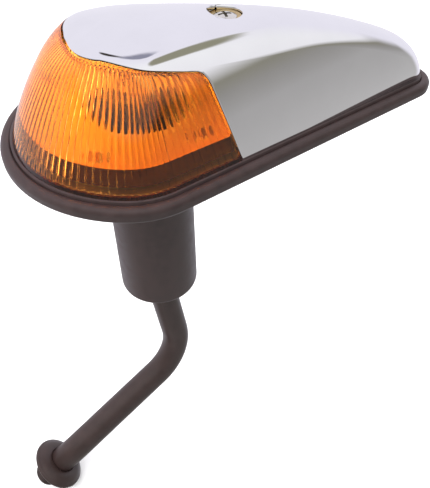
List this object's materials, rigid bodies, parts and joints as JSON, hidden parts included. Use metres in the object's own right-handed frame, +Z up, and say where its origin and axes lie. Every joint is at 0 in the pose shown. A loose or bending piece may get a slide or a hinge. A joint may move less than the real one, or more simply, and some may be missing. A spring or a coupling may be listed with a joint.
{
  "type": "turn signal indicator",
  "caption": "Teardrop fender-mount turn signal with fluted amber nose lens, chromed cap, rubber gasket, rubber neck boot and moulded wire hose.",
  "frame": {"origin": "on the neck boot's axis, in the plane of the gasket's underside, which rests on the fender", "axes": "+Z up out of the fender, -X the way the lens faces, +X to the tail"},
  "size_m": [0.2019, 0.0982, 0.2326],
  "materials": {
    "chrome": "mirror chrome plate",
    "amber_lens": "clear amber moulding with flutes inside",
    "black_rubber": "moulded rubber, slightly dusty sheen",
    "zinc_steel": "zinc plated pressing",
    "bright_steel": "bright nickel plate",
    "spring_steel": "bare spring wire",
    "tungsten": "drawn tungsten wire",
    "solder": "dull solder",
    "reflector_silver": "bright silver paint",
    "brass": "turned brass",
    "clear_glass": "clear blown glass",
    "phenolic": "brown phenolic board",
    "vitrite": "black glass insulator"
  },
  "bodies": {
    "base": {"base_gasket": "black_rubber", "base_plate": "zinc_steel", "thread_inserts": "brass", "reflector": "reflector_silver", "reflector_rivets": "bright_steel", "bulb_socket": "zinc_steel", "socket_rivets": "bright_steel", "socket_insulator": "phenolic", "feed_terminal": "brass", "terminal_rivet": "brass", "contact_spring": "spring_steel", "neck_boot": "black_rubber", "wire_hose": "black_rubber", "panel_grommet": "black_rubber"},
    "lens": {"lens": "amber_lens"},
    "cover": {"chrome_cover": "chrome"},
    "washer": {"cup_washer": "brass"},
    "screw": {"cover_screw": "bright_steel"},
    "plunger": {"contact_carrier": "phenolic", "centre_contact": "brass"},
    "bulb": {"bulb_glass": "clear_glass", "bulb_cap": "brass", "bulb_pins": "brass", "bulb_insulator": "vitrite", "bulb_contact": "solder", "bulb_stem": "clear_glass", "filament_supports": "spring_steel", "filament": "tungsten"}
  },
  "joints": [
    {"name": "cover_lift", "type": "slide", "parent": "base", "child": "cover", "axis": [0, 0, 1], "range_m": [0, 0.12]},
    {"name": "lens_lift", "type": "slide", "parent": "base", "child": "lens", "axis": [0, 0, 1], "range_m": [0, 0.0601]},
    {"name": "washer_lift", "type": "slide", "parent": "cover", "child": "washer", "axis": [0, 0, 1], "range_m": [0, 0.0056]},
    {"name": "screw_turn", "type": "hinge", "parent": "washer", "child": "screw", "pos_m": [0.031, 0, 0.038], "axis": [0, 0, 1], "range_deg": [0, 2881]},
    {"name": "bulb_push", "type": "slide", "parent": "base", "child": "plunger", "axis": [0, 0, -1], "range_m": [0, 0.0015], "stiffness_N_per_m": 3500, "springref_m": -0.002, "deforming": ["contact_spring"]},
    {"name": "bulb_turn", "type": "hinge", "parent": "plunger", "child": "bulb", "pos_m": [0, 0, 0], "axis": [0, 0, 1], "range_deg": [0, 20]}
  ],
  "couplings": [
    {"joint": "lens_lift", "follows": "cover_lift", "ratio": 0.5},
    {"joint": "screw_turn", "follows": "washer_lift", "rad_per_m": 8976}
  ]
}
